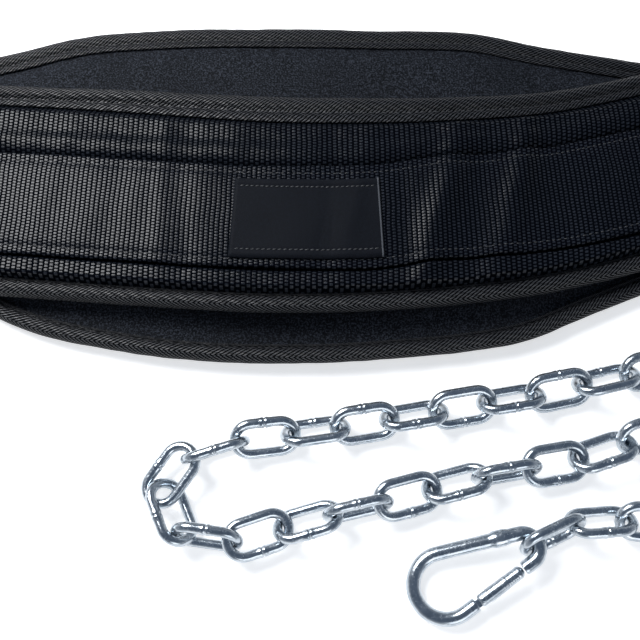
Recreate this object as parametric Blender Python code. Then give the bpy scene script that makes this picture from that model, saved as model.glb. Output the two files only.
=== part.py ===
"""Dip belt lying open on a flat surface, outer face up, with its chain and snap hook laid out below it.

Units are metres, +Z is up, +X runs along the belt and +Y points from the chain towards the belt.
The part stands on Z = 0 with the middle of its box over the origin.
"""

import math

import bmesh
import bpy
from mathutils import Matrix, Vector

MM = 0.001
GAP = 0.3 * MM

# Outer belt: a padded shell with its middle near the layout's middle
BELT_LENGTH = 690 * MM
BELT_WIDTH = 108 * MM
BELT_OVER = 6.6 * MM
BELT_UNDER = 4.4 * MM
BELT_EDGE = 4.0 * MM
BELT_CORNER = 26 * MM
BELT_BOW = 5 * MM
BELT_PLACE = (-4 * MM, 51 * MM)
BELT_ASIDE = 2.5 * MM

# Base pad: the wide contoured pad under the belt
BASE_LENGTH = 490 * MM
BASE_WIDTH = 180 * MM
BASE_OVER = 4.0 * MM
BASE_UNDER = 4.0 * MM
BASE_EDGE = 3.4 * MM
BASE_CORNER = 24 * MM
BASE_LIFT = 4 * MM
BASE_PLACE = (0, 69 * MM)

# Tape that binds both pads: a flat lip on each face and a fat roll round the edge
TAPE = 1.4 * MM
LIP = 12 * MM
BELT_ROLL = 5.0 * MM
BASE_ROLL = 4.2 * MM

# Where each pad's crown starts in from the outline, and over what width it rises to full
BELT_CROWN = (LIP + 3 * MM, 6 * MM)
BASE_CROWN = (LIP + 4 * MM, 15 * MM)

# Strap of load webbing, folded back round a D-ring at each end
STRAP_WIDTH = 53 * MM
STRAP_THICK = 2.4 * MM
STRAP_LAP = 52 * MM
STRAP_RUN_ON = 5 * MM
STRAP_ASIDE = -9.3 * MM
STRAP_BACK = 3.2 * MM
LABEL_SIZE = (70.5 * MM, 41 * MM)
LABEL_THICK = 1.2 * MM
LABEL_PLACE = (-2 * MM, -1.7 * MM)

# D-rings
RING_WIRE = 6.0 * MM
RING_DEPTH = 36 * MM
RING_PLAY = 1.0 * MM
RING_CORNER = 5.0 * MM
RING_STAND_OFF = 15 * MM
RING_TAKES_CHAIN_AT = 125

# Chain of welded links
LINK_WIRE = 4.8 * MM
LINK_INNER_LENGTH = 24.05 * MM
LINK_INNER_WIDTH = 10.6 * MM
LINK_PLAY = 0.45 * MM

# Snap hook: a pear of round wire, with a sprung gate
HOOK_WIRE = 6.6 * MM
HOOK_BIG = 14.2 * MM
HOOK_SMALL = 6.8 * MM
EYE_PLAY = 0.7 * MM
HOOK_REACH = 38.8 * MM
HOOK_HEADING = 24
HOOK_EYE = (91 * MM, -110.5 * MM)
NOSE_RUN = 5.5 * MM
GATE_LENGTH = 21.8 * MM
GATE_CLEARANCE = 0.5 * MM
GATE_ROUNDING = 1.2 * MM
TONGUE = 2.6 * MM
TONGUE_REACH = 0.25 * HOOK_WIRE
FORK_REACH = 0.3 * HOOK_WIRE
HINGE_ROOM = 0.55 * HOOK_WIRE
PIN_WIRE = 2.2 * MM

# Heading of each pad's centreline in plan, in degrees, by share of its half length
BELT_HEADINGS = [(-1, -8), (-0.45, -5), (-0.165, -5), (0, 0), (0.165, 4.5), (0.31, 9), (0.44, 15), (1, 17)]
BASE_HEADINGS = [(-1, -6), (-0.41, -4.5), (0, 0.5), (0.41, 5.5), (1, 9)]

# Half width of each pad as a share of its greatest half width, by share of its half length
BELT_OUTLINE = [(-1, 0.74), (-0.9, 0.79), (-0.7, 0.92), (-0.45, 1), (0, 1), (0.25, 0.96), (0.45, 0.9),
                (0.7, 0.86), (0.9, 0.79), (1, 0.74)]
BASE_OUTLINE = [(-1, 0.40), (-0.92, 0.5), (-0.82, 0.63), (-0.67, 0.775), (-0.6, 0.85), (-0.54, 0.9),
                (-0.46, 0.94), (-0.25, 0.995), (0, 1), (0.17, 0.98), (0.25, 0.97), (0.375, 0.93), (0.5, 0.823),
                (0.67, 0.69), (0.82, 0.56), (0.92, 0.46), (1, 0.38)]

# The chain's chosen way in plan, in millimetres, from the right D-ring to the hook's eye
CHAIN_ROUTE = [(397, 111), (411, 94), (408, 68), (384, 48), (342, 34), (298, 15), (250, -4), (200, -17),
               (155, -28), (112, -38), (66, -46), (19, -54), (-22, -60), (-43, -63), (-61, -69), (-73, -80),
               (-75, -93), (-65, -104), (-46, -108), (-22, -103), (4, -96), (30, -90), (72, -79), (118, -71),
               (146, -62), (168, -56), (187, -60), (199, -77), (191, -96), (172, -102), (149, -98), (116, -99.5)]

# Lean of the links, in degrees: those that face the viewer, the others, both ends and the middle strand
WIDE_ROLL = 36
NARROW_ROLL = 48
END_ROLL = 70
MIDDLE_STRAND = (25, 35)
MIDDLE_ROLLS = (22, -40, 80)

# Links in the tight turns: lean and extra turn in degrees, then a nudge to the right and up in millimetres
BEND_LINKS = {2: (33.9, -0.6, 0.1, 0), 3: (-47.5, 2.8, -0.2, 0.2), 4: (49.8, -4, -0.1, 0.9),
              24: (80.1, 1.9, -0.2, -1.3), 25: (9.5, 6.7, -1.2, -0.7), 26: (-35.7, -8.2, 1.6, 1.1),
              27: (71, -2.8, 0.2, 0.9), 28: (16.3, 4.9, 0.2, 0),
              36: (46.7, -0.6, 0.4, 1.6), 37: (-56.4, -4.7, -0.5, -0.8), 38: (22.3, 3, -0.6, -0.5),
              39: (-50.5, 1.4, -0.9, 1.5), 40: (39.4, 3.2, 0.5, 0.9)}


def smooth(table, share):
    """The value of a two-column table at a share, on a smooth curve through its rows."""
    rows = sorted(table)
    if share <= rows[0][0]:
        return rows[0][1]
    if share >= rows[-1][0]:
        return rows[-1][1]
    i = max(k for k in range(len(rows) - 1) if rows[k][0] <= share)
    (x0, y0), (x1, y1) = rows[i], rows[i + 1]
    before = rows[i - 1] if i else (2 * x0 - x1, 2 * y0 - y1)
    after = rows[i + 2] if i + 2 < len(rows) else (2 * x1 - x0, 2 * y1 - y0)
    span = x1 - x0
    slope0 = (y1 - before[1]) / (x1 - before[0]) * span
    slope1 = (after[1] - y0) / (after[0] - x0) * span
    t = (share - x0) / span
    return (y0 * (2 * t ** 3 - 3 * t ** 2 + 1) + slope0 * (t ** 3 - 2 * t ** 2 + t)
            + y1 * (3 * t ** 2 - 2 * t ** 3) + slope1 * (t ** 3 - t ** 2))


class Centreline:
    """A pad's centreline in plan, walked out from its middle by its headings."""

    STEP = 2 * MM

    def __init__(self, place, length, headings, aside=0.0):
        self.half = length / 2
        self.headings = headings
        self.aside = aside
        count = round(self.half * 1.4 / self.STEP)
        self.points = {0: Vector(place)}
        for sign in (1, -1):
            here = Vector(place)
            for k in range(count):
                middle = self.heading(sign * (k + 0.5) * self.STEP)
                here = here + sign * self.STEP * Vector((math.cos(middle), math.sin(middle)))
                self.points[sign * (k + 1)] = here

    def heading(self, along):
        return math.radians(smooth(self.headings, along / self.half))

    def at(self, along, across=0.0):
        """The point in plan at a length along the line and a width to its left."""
        k = math.floor(along / self.STEP)
        share = along / self.STEP - k
        middle = self.points[k].lerp(self.points[k + 1], share)
        turn = self.heading(along)
        return middle + (across + self.aside) * Vector((-math.sin(turn), math.cos(turn)))


def ease(share):
    share = min(max(share, 0.0), 1.0)
    return share * share * (3 - 2 * share)


def hump(along, half):
    """1 in the middle, falling smoothly to 0 at the half length."""
    return math.cos(math.pi / 2 * min(abs(along) / half, 1)) ** 2


BELT_LINE = Centreline(BELT_PLACE, BELT_LENGTH, BELT_HEADINGS, BELT_ASIDE)
STRAP_LINE = Centreline(BELT_PLACE, BELT_LENGTH, BELT_HEADINGS)
BASE_LINE = Centreline(BASE_PLACE, BASE_LENGTH, BASE_HEADINGS)


def base_middle(along):
    """Height of the base pad's middle plane."""
    return BASE_ROLL + BASE_LIFT * hump(along, BASE_LENGTH / 2)


def belt_middle(along):
    """Height of the outer belt's middle plane: on the base, bowed off it in the middle, down at both ends."""
    half = BELT_LENGTH / 2
    rest = BASE_LENGTH / 2 + 12 * MM
    on_base = base_middle(along) + BASE_ROLL + GAP + BELT_ROLL + BELT_BOW * hump(along, 0.55 * half)
    down = ease((abs(along) - rest) / (half - rest))
    return on_base + (BELT_ROLL - on_base) * down


def material(name, colour, roughness, metallic=0.0):
    made = bpy.data.materials.new(name)
    made.use_nodes = True
    shader = made.node_tree.nodes["Principled BSDF"]
    shader.inputs["Base Color"].default_value = (*colour, 1)
    shader.inputs["Roughness"].default_value = roughness
    shader.inputs["Metallic"].default_value = metallic
    return made


def finish(name, mesh, surface, smooth_angle=40):
    """An object of its own for a mesh, with its material, its faces pointing out."""
    work = bmesh.new()
    work.from_mesh(mesh)
    bmesh.ops.remove_doubles(work, verts=work.verts, dist=0.001 * MM)
    bmesh.ops.recalc_face_normals(work, faces=work.faces)
    work.to_mesh(mesh)
    work.free()
    mesh.shade_smooth()
    mesh.set_sharp_from_angle(angle=math.radians(smooth_angle))
    mesh.materials.append(surface)
    piece = bpy.data.objects.new(name, mesh)
    bpy.context.collection.objects.link(piece)
    return piece


def loft(name, rings, closed=False):
    """A mesh of equal rings of points bridged one to the next, with end caps unless the loft closes on itself."""
    work = bmesh.new()
    loops = [[work.verts.new(point) for point in ring] for ring in rings]
    size = len(rings[0])
    pairs = list(zip(loops, loops[1:])) + ([(loops[-1], loops[0])] if closed else [])
    for one, two in pairs:
        for k in range(size):
            work.faces.new((one[k], one[(k + 1) % size], two[(k + 1) % size], two[k]))
    if not closed:
        work.faces.new(loops[0])
        work.faces.new(loops[-1])
    mesh = bpy.data.meshes.new(name)
    work.to_mesh(mesh)
    work.free()
    return mesh


def outline(length, width, corner, table, step=24 * MM):
    """Rows of (along, half width) from end to end of a pad, with round corners."""
    half = length / 2
    straight = half - corner
    count = 2 * round(straight / step)
    rows = [(-straight + 2 * straight * k / count, None) for k in range(1, count)]
    rows = [(along, width / 2 * smooth(table, along / half)) for along, _ in rows]
    turns = [math.radians(a) for a in (0, 22.5, 45, 67.5, 90)]
    for sign in (-1, 1):
        end = [(sign * (straight + corner * math.sin(a)),
                width / 2 * smooth(table, sign * straight / half) - corner * (1 - math.cos(a))) for a in turns]
        rows = end[::-1] + rows if sign < 0 else rows + end
    return rows


def crown(from_edge, edge, full, rise):
    """Thickness from the middle plane, at a distance from the outline: thin under the tape, then full."""
    start, reach = rise
    return edge / 2 + (full - edge / 2) * ease((from_edge - start) / reach)


def from_outline(rows, along, across):
    """Distance from a point of the flat pad to the pad's outline."""
    point = Vector((along, abs(across)))
    side = [Vector((rows[0][0], 0))] + [Vector(row) for row in rows] + [Vector((rows[-1][0], 0))]
    nearest = []
    for one, two in zip(side, side[1:]):
        share = min(max((point - one).dot(two - one) / (two - one).length_squared, 0), 1)
        nearest.append((one.lerp(two, share) - point).length)
    return min(nearest)


def across_shares(half_width, rise):
    """Places across a pad: close together where the tape ends and the crown starts."""
    marks = [0, rise[0], sum(rise)]
    reach = [1 - min(mark / half_width, 0.92 + 0.03 * k) for k, mark in enumerate(marks)]
    return [-s for s in reach] + [0] + reach[::-1]


def pad(name, line, rows, middle, edge, over, under, rise, surface):
    """A padded panel: flat middle, thinner towards the outline where the tape grips it."""
    rings = []
    for along, half_width in rows:
        shares = across_shares(half_width, rise)
        top = []
        bottom = []
        for share in shares:
            spot = line.at(along, share * half_width)
            from_edge = from_outline(rows, along, share * half_width)
            height = middle(along)
            top.append((spot.x, spot.y, height + crown(from_edge, edge, over, rise)))
            bottom.append((spot.x, spot.y, height - crown(from_edge, edge, under, rise)))
        rings.append(top + bottom[::-1])
    return finish(name, loft(name, rings), surface)


def rim(rows):
    """The flat pad's edge as a closed run of (point, outward direction)."""
    points = [Vector(row) for row in rows] + [Vector((along, -half)) for along, half in reversed(rows)]
    run = []
    for k, point in enumerate(points):
        ahead = (points[(k + 1) % len(points)] - point).normalized()
        behind = (point - points[k - 1]).normalized()
        travel = ahead + behind
        run.append((point, Vector((-travel.y, travel.x)).normalized()))
    return run


def binding(name, line, rows, middle, edge, roll, surface):
    """Tape folded over the pad's edge: two flat lips and a fat roll outside the edge, as one U-shaped band."""
    inside = edge / 2 + GAP
    lip = inside + TAPE
    outer = [(-LIP, lip), (-0.45 * LIP, lip), (-0.22 * LIP, roll), (0.12 * LIP, 0.85 * roll), (0.26 * LIP, 0)]
    section = outer + [(n, -z) for n, z in reversed(outer[:-1])]
    section += [(-LIP, -inside), (GAP, -inside), (GAP, inside), (-LIP, inside)]
    rings = []
    for point, outward in rim(rows):
        ring = []
        for n, z in section:
            flat = point + outward * n
            spot = line.at(flat.x, flat.y)
            ring.append((spot.x, spot.y, middle(flat.x) + z))
        rings.append(ring)
    return finish(name, loft(name, rings, closed=True), surface, 50)


def belt_top(along):
    """Height that the strap's underside follows: the belt's crown, easing down to the tape at the ends."""
    half = BELT_LENGTH / 2
    full = half - sum(BELT_CROWN)
    drop = ease((abs(along) - full) / (half - LIP / 2 - full))
    return belt_middle(along) + BELT_OVER + (BELT_ROLL - BELT_OVER) * drop + GAP


def ring_bar():
    """How far along the bar of a D-ring lies, and how high."""
    along = BELT_LENGTH / 2 + RING_STAND_OFF
    return along, belt_top(BELT_LENGTH / 2) + STRAP_THICK + 0.5 * GAP


def strap_path():
    """The webbing's own middle as (along, height) from the left lap's end round to the right lap's end."""
    bar, bar_height = ring_bar()
    turn = RING_WIRE / 2 + GAP + STRAP_THICK / 2
    lap_end = BELT_LENGTH / 2 - STRAP_LAP
    low = [lap_end + (BELT_LENGTH / 2 + STRAP_RUN_ON - lap_end) * k / 5 for k in range(6)]
    right = [(along, belt_top(along) + STRAP_THICK / 2) for along in reversed(low)]
    loop = [(bar + turn * math.sin(math.radians(a)), bar_height + turn * math.cos(math.radians(a)))
            for a in (0, 30, 60, 90, 120, 150, 180)]
    upper = [(along, belt_top(along) + 1.5 * STRAP_THICK + GAP) for along in low]
    stations = outline(BELT_LENGTH, BELT_WIDTH, BELT_CORNER, BELT_OUTLINE)
    across = [(along, belt_top(along) + STRAP_THICK / 2) for along, _ in stations if abs(along) < lap_end - 12 * MM]
    half_right = upper + loop + right
    half_left = [(-along, height) for along, height in reversed(half_right)]
    return half_left + across + half_right


def strap_aside(along):
    """How far the strap is sewn to the side of its line: lower over the middle, less so to the right of the
    label, and back on its line towards the rings."""
    share = along / (BELT_LENGTH / 2)
    aside = STRAP_ASIDE + STRAP_BACK * ease((share - 0.06) / 0.13)
    return aside * (1 - ease((abs(share) - 0.52) / 0.28))


def strap(surface):
    path = strap_path()
    rings = []
    for k, (along, height) in enumerate(path):
        before = path[max(k - 1, 0)]
        after = path[min(k + 1, len(path) - 1)]
        travel = Vector((after[0] - before[0], after[1] - before[1])).normalized()
        normal = Vector((-travel.y, travel.x)) * STRAP_THICK / 2
        ring = []
        for side, across in ((1, -0.5), (1, 0.5), (-1, 0.5), (-1, -0.5)):
            spot = STRAP_LINE.at(along + side * normal.x, across * STRAP_WIDTH + strap_aside(along))
            ring.append((spot.x, spot.y, height + side * normal.y))
        rings.append(ring)
    return finish("strap", loft("strap", rings), surface)


def label(surface):
    """Sewn patch that follows the strap's face."""
    length, width = LABEL_SIZE
    middle, aside = LABEL_PLACE
    rings = []
    for k in range(9):
        along = middle + length * (k / 8 - 0.5)
        height = belt_top(along) + STRAP_THICK + GAP
        ring = []
        for rise, across in ((0, -0.5), (0, 0.5), (LABEL_THICK, 0.5), (LABEL_THICK, -0.5)):
            spot = STRAP_LINE.at(along, across * width + aside + strap_aside(along))
            ring.append((spot.x, spot.y, height + rise))
        rings.append(ring)
    return finish("label", loft("label", rings), surface)


def wire_loop(name, points, wire, sides):
    """A closed round wire through flat points, as a mesh."""
    curve = bpy.data.curves.new(name, "CURVE")
    curve.dimensions = "3D"
    curve.bevel_depth = wire / 2
    curve.bevel_resolution = sides // 2 - 2
    spline = curve.splines.new("POLY")
    spline.points.add(len(points) - 1)
    for made, point in zip(spline.points, points):
        made.co = (*point, 1)
    spline.use_cyclic_u = True
    return curve


def arc(centre, radius, start, end, steps):
    return [Vector((centre[0] + radius * math.cos(math.radians(start + (end - start) * k / steps)),
                    centre[1] + radius * math.sin(math.radians(start + (end - start) * k / steps)), 0))
            for k in range(steps + 1)]


def link_height(roll):
    """Height of a link's middle when it leans at this angle with one side on the floor."""
    return LINK_WIRE / 2 + (LINK_INNER_WIDTH + LINK_WIRE) / 2 * abs(math.sin(math.radians(roll))) + 0.1 * MM


def ring_half_bar():
    return STRAP_WIDTH / 2 + RING_PLAY + RING_CORNER


def ring_pose(side):
    """Where a D-ring's bar lies and how the ring turns and dips from it."""
    bar, height = ring_bar()
    spot = STRAP_LINE.at(side * bar)
    turn = STRAP_LINE.heading(side * bar) + (0 if side > 0 else math.pi)
    rest = link_height(END_ROLL) if side > 0 else RING_WIRE / 2
    dip = math.asin((height - rest) / RING_DEPTH)
    return (Matrix.Translation((spot.x, spot.y, height)) @ Matrix.Rotation(turn, 4, "Z")
            @ Matrix.Rotation(dip, 4, "Y"))


def ring_takes_chain():
    """The point in plan where the first link pulls on the right D-ring's bow."""
    a = math.radians(RING_TAKES_CHAIN_AT)
    bow = RING_DEPTH - RING_CORNER
    wire = Vector((RING_CORNER + bow * math.sin(a), ring_half_bar() * math.cos(a), 0))
    outward = Vector((math.sin(a) / bow, math.cos(a) / ring_half_bar(), 0)).normalized()
    inside = (RING_WIRE + LINK_WIRE) / 2 + LINK_PLAY - (LINK_WIRE + LINK_PLAY) / 2
    return (ring_pose(1) @ (wire - outward * inside)).to_2d()


def eye_takes_chain():
    """The point in plan where the last link pulls on the hook's eye."""
    heading = math.radians(HOOK_HEADING)
    inside = (HOOK_WIRE + LINK_WIRE) / 2 + EYE_PLAY - (LINK_WIRE + LINK_PLAY) / 2
    return Vector(HOOK_EYE) + (HOOK_SMALL - inside) * Vector((math.cos(heading), math.sin(heading)))


def d_ring(name, side, surface):
    """A welded D of round wire: a straight bar in the strap's loop and a bow that rests on the floor."""
    corner = RING_CORNER
    half_bar = ring_half_bar()
    bow = RING_DEPTH
    points = [Vector((0, -half_bar + corner, 0)), Vector((0, half_bar - corner, 0))]
    points += arc((corner, half_bar - corner), corner, 180, 90, 3)[1:]
    turns = [math.radians(a) for a in (40, 60, 80, 100, 120, 140)]
    points += [Vector((corner + (bow - corner) * math.sin(a), half_bar * math.cos(a), 0)) for a in turns]
    points += arc((corner, -half_bar + corner), corner, 270, 180, 3)[:-1]
    curve = wire_loop(name, points, RING_WIRE, 8)
    curve.materials.append(surface)
    piece = bpy.data.objects.new(name, curve)
    bpy.context.collection.objects.link(piece)
    piece.matrix_world = ring_pose(side)
    return piece


def chain_curve():
    """The chain's way as close points in plan, smooth through the chosen ones."""
    route = [ring_takes_chain()] + [Vector(point) * MM for point in CHAIN_ROUTE] + [eye_takes_chain()]
    steps = 12
    points = []
    for k in range(len(route) - 1):
        one, two = route[k], route[k + 1]
        before = route[k - 1] if k else 2 * one - two
        after = route[k + 2] if k + 2 < len(route) else 2 * two - one
        for j in range(steps):
            t = j / steps
            points.append(0.5 * (2 * one + (two - before) * t + (2 * before - 5 * one + 4 * two - after) * t ** 2
                                 + (3 * one - before - 3 * two + after) * t ** 3))
    return points + [route[-1]]


def walk(points, spacing, count):
    """Joints a straight spacing apart along close points, and how far along the points the last one lies."""
    joints = [points[0]]
    walked = 0.0
    for one, two in zip(points, points[1:]):
        length = (two - one).length
        near, far = (one - joints[-1]).length, (two - joints[-1]).length
        if len(joints) <= count and far >= spacing > near:
            joints.append(one.lerp(two, (spacing - near) / (far - near)))
            reached = walked + length * (spacing - near) / (far - near)
        walked += length
    return joints, reached if len(joints) > count else walked + spacing


def chain_joints():
    """Points where each link meets the next: as many links as the way needs, none pulled longer than it is."""
    points = chain_curve()
    total = sum((two - one).length for one, two in zip(points, points[1:]))
    full = LINK_INNER_LENGTH - LINK_PLAY
    count = 2
    while len(walk(points, full, count)[0]) > count:
        count += 1
    low, high = 0.8 * full, full
    for _ in range(30):
        middle = (low + high) / 2
        joints, reached = walk(points, middle, count)
        low, high = (middle, high) if reached < total - 0.01 * MM else (low, middle)
    joints = walk(points, low, count)[0][:count]
    return joints + [points[-1]]


def link_mesh():
    """One welded link as a cyclic wire."""
    half = LINK_INNER_LENGTH / 2 + LINK_WIRE / 2
    bend = LINK_INNER_WIDTH / 2 + LINK_WIRE / 2
    steps = 5
    outer = bend / math.cos(math.pi / 2 / steps)
    right = arc((half - bend, 0), outer, -90, 90, steps)
    left = arc((bend - half, 0), outer, 90, 270, steps)
    for point in (right[0], right[-1], left[0], left[-1]):
        point.y = math.copysign(bend, point.y)
    points = right + left
    return wire_loop("chain_link", points, LINK_WIRE, 6)


def chain_leans(headings):
    """Each link's lean: neighbours lean opposite ways, or roll on by thirds in the middle strand."""
    count = len(headings)
    leans = []
    for k, heading in enumerate(headings):
        number = k + 1
        even = (count - number) % 2 == 0
        share = (1 + math.cos(heading)) / 2
        lean = WIDE_ROLL + (NARROW_ROLL - WIDE_ROLL) * (share if even else 1 - share)
        if number in (1, count):
            lean = END_ROLL
        lean = -lean if even else lean
        if MIDDLE_STRAND[0] <= number <= MIDDLE_STRAND[1]:
            lean = MIDDLE_ROLLS[(number - MIDDLE_STRAND[0]) % len(MIDDLE_ROLLS)]
        leans.append(lean)
    for number, (lean, _, _, _) in BEND_LINKS.items():
        leans[number - 1] = lean
    return leans


def chain(surface):
    """Links along the chain's way, each leaning across the last, with one side on the floor."""
    mesh = link_mesh()
    mesh.materials.append(surface)
    joints = chain_joints()
    headings = [math.atan2(two.y - one.y, two.x - one.x) for one, two in zip(joints, joints[1:])]
    leans = chain_leans(headings)
    rests = [link_height(lean) for lean in leans]
    heights = [rests[0]] + [max(pair) for pair in zip(rests, rests[1:])] + [rests[-1]]
    for k, (heading, lean) in enumerate(zip(headings, leans)):
        _, turn, right, up = BEND_LINKS.get(k + 1, (lean, 0, 0, 0))
        start = Vector((*joints[k], heights[k]))
        end = Vector((*joints[k + 1], heights[k + 1]))
        pitch = math.asin((end.z - start.z) / (end - start).length)
        middle = (start + end) / 2 + Vector((right, up, 0)) * MM
        piece = bpy.data.objects.new(f"chain_link_{k + 1:02d}", mesh)
        bpy.context.collection.objects.link(piece)
        piece.matrix_world = (Matrix.Translation(middle) @ Matrix.Rotation(heading + math.radians(turn), 4, "Z")
                              @ Matrix.Rotation(-pitch, 4, "Y") @ Matrix.Rotation(math.radians(lean), 4, "X"))


def hook_pose():
    """The hook lies on its big end, its eye raised by the link that passes under it."""
    eye_height = link_height(END_ROLL)
    tilt = math.asin((eye_height - HOOK_WIRE / 2) / (HOOK_REACH + HOOK_BIG))
    return (Matrix.Translation((*HOOK_EYE, eye_height)) @ Matrix.Rotation(math.radians(HOOK_HEADING), 4, "Z")
            @ Matrix.Rotation(-tilt, 4, "Y"))


def gate_line():
    """The slope of the hook's straight sides; the nose's end, gate's tip and hinge from the eye's middle."""
    slope = math.asin((HOOK_BIG - HOOK_SMALL) / HOOK_REACH)
    along = Vector((math.cos(slope), math.sin(slope), 0))
    shoulder = HOOK_SMALL * Vector((math.sin(slope), -math.cos(slope), 0))
    nose = shoulder - along * NOSE_RUN
    tip = nose - along * GATE_CLEARANCE
    return slope, along, nose, tip, tip - along * GATE_LENGTH


def tube(name, points, wire, sides, surface):
    """An open round wire with filled ends, as a mesh of its own."""
    curve = wire_loop(name, points, wire, sides)
    curve.splines[0].use_cyclic_u = False
    curve.use_fill_caps = True
    guide = bpy.data.objects.new(name, curve)
    bpy.context.collection.objects.link(guide)
    bpy.context.view_layer.update()
    mesh = bpy.data.meshes.new_from_object(guide.evaluated_get(bpy.context.evaluated_depsgraph_get()))
    bpy.data.objects.remove(guide, do_unlink=True)
    mesh.name = name
    return finish(name, mesh, surface, 50)


def box_cutter(name, low, high, pose):
    work = bmesh.new()
    bmesh.ops.create_cube(work, size=1)
    size = [b - a for a, b in zip(low, high)]
    middle = [(a + b) / 2 for a, b in zip(low, high)]
    bmesh.ops.transform(work, matrix=Matrix.Translation(middle) @ Matrix.Diagonal((*size, 1)), verts=work.verts)
    mesh = bpy.data.meshes.new(name)
    work.to_mesh(mesh)
    work.free()
    piece = bpy.data.objects.new(name, mesh)
    bpy.context.collection.objects.link(piece)
    piece.matrix_world = pose
    piece.hide_render = True
    piece.display_type = "WIRE"
    return piece


def pin_mesh(name, wire, length, sides=12):
    work = bmesh.new()
    bmesh.ops.create_cone(work, cap_ends=True, segments=sides, radius1=wire / 2, radius2=wire / 2, depth=length)
    mesh = bpy.data.meshes.new(name)
    work.to_mesh(mesh)
    work.free()
    return mesh


def cut(piece, cutter, operation="DIFFERENCE"):
    made = piece.modifiers.new(cutter.name, "BOOLEAN")
    made.object = cutter
    made.operation = operation


def hook(surface):
    """Snap hook: wire body from the nose round the eye, the spine and the big end to the hinge; gate; pin."""
    pose = hook_pose()
    slope, along, nose, tip, hinge = gate_line()
    turn = math.degrees(slope)
    eye = arc((0, 0), HOOK_SMALL, turn - 90, 90 - turn, 8)
    big_end = arc((-HOOK_REACH, 0), HOOK_BIG, 90 - turn, 270 + turn, 12)
    body = tube("hook_body", [nose] + eye + big_end + [hinge - along * HINGE_ROOM], HOOK_WIRE, 8, surface)
    body.matrix_world = pose
    hinge_pose = pose @ Matrix.Translation(hinge) @ Matrix.Rotation(slope, 4, "Z")
    tongue = box_cutter("hinge_tongue", (-HOOK_WIRE, -FORK_REACH, -TONGUE / 2),
                        (TONGUE_REACH, FORK_REACH, TONGUE / 2), hinge_pose)
    cut(body, tongue, "UNION")
    bore = bpy.data.objects.new("pin_bore", pin_mesh("pin_bore", PIN_WIRE + 2 * GAP, 3 * HOOK_WIRE))
    bpy.context.collection.objects.link(bore)
    bore.matrix_world = hinge_pose
    bore.hide_render = True
    bore.display_type = "WIRE"
    cut(body, bore)
    gate_run = [hinge - along * FORK_REACH, tip - along * GATE_ROUNDING, tip]
    gate = tube("hook_gate", gate_run, HOOK_WIRE, 8, surface)
    gate.matrix_world = pose
    slot = box_cutter("gate_slot", (-2 * HOOK_WIRE, -HOOK_WIRE, -TONGUE / 2 - GAP),
                      (FORK_REACH + 2 * GAP, HOOK_WIRE, TONGUE / 2 + GAP), hinge_pose)
    cut(gate, slot)
    cut(gate, bore)
    pin = bpy.data.objects.new("hook_pin", pin_mesh("hook_pin", PIN_WIRE, HOOK_WIRE))
    bpy.context.collection.objects.link(pin)
    pin.data.materials.append(surface)
    pin.matrix_world = hinge_pose


def seat():
    """Move everything so that the part stands on Z = 0 with its box's middle over the origin."""
    bpy.context.view_layer.update()
    graph = bpy.context.evaluated_depsgraph_get()
    points = []
    for piece in bpy.data.objects:
        if not piece.hide_render:
            points += [piece.matrix_world @ vertex.co for vertex in piece.evaluated_get(graph).to_mesh().vertices]
    low = [min(point[axis] for point in points) for axis in range(3)]
    high = [max(point[axis] for point in points) for axis in range(3)]
    shift = Matrix.Translation((-(low[0] + high[0]) / 2, -(low[1] + high[1]) / 2, -low[2]))
    for piece in bpy.data.objects:
        piece.matrix_world = shift @ piece.matrix_world


def clear_scene():
    for old in list(bpy.data.objects):
        bpy.data.objects.remove(old, do_unlink=True)


def main():
    clear_scene()
    neoprene = material("neoprene", (0.016, 0.019, 0.025), 0.85)
    twill = material("twill_tape", (0.024, 0.026, 0.03), 0.8)
    nylon = material("ribbed_nylon", (0.02, 0.022, 0.027), 0.6)
    webbing = material("webbing", (0.03, 0.032, 0.036), 0.6)
    patch = material("label_cloth", (0.01, 0.012, 0.018), 0.7)
    steel = material("zinc_plated_steel", (0.55, 0.58, 0.62), 0.25, 1.0)

    base_rows = outline(BASE_LENGTH, BASE_WIDTH, BASE_CORNER, BASE_OUTLINE)
    belt_rows = outline(BELT_LENGTH, BELT_WIDTH, BELT_CORNER, BELT_OUTLINE)
    pad("base_pad", BASE_LINE, base_rows, base_middle, BASE_EDGE, BASE_OVER, BASE_UNDER, BASE_CROWN, neoprene)
    binding("base_binding", BASE_LINE, base_rows, base_middle, BASE_EDGE, BASE_ROLL, twill)
    pad("belt_pad", BELT_LINE, belt_rows, belt_middle, BELT_EDGE, BELT_OVER, BELT_UNDER, BELT_CROWN, nylon)
    binding("belt_binding", BELT_LINE, belt_rows, belt_middle, BELT_EDGE, BELT_ROLL, twill)
    strap(webbing)
    label(patch)
    d_ring("d_ring_left", -1, steel)
    d_ring("d_ring_right", 1, steel)
    chain(steel)
    hook(steel)
    seat()


main()
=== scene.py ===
"""A dip belt lying open on a white surface, outer face up, with its chain and snap hook laid out below it."""
import math

import bmesh
import bpy
from mathutils import Matrix, Vector, noise


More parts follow.
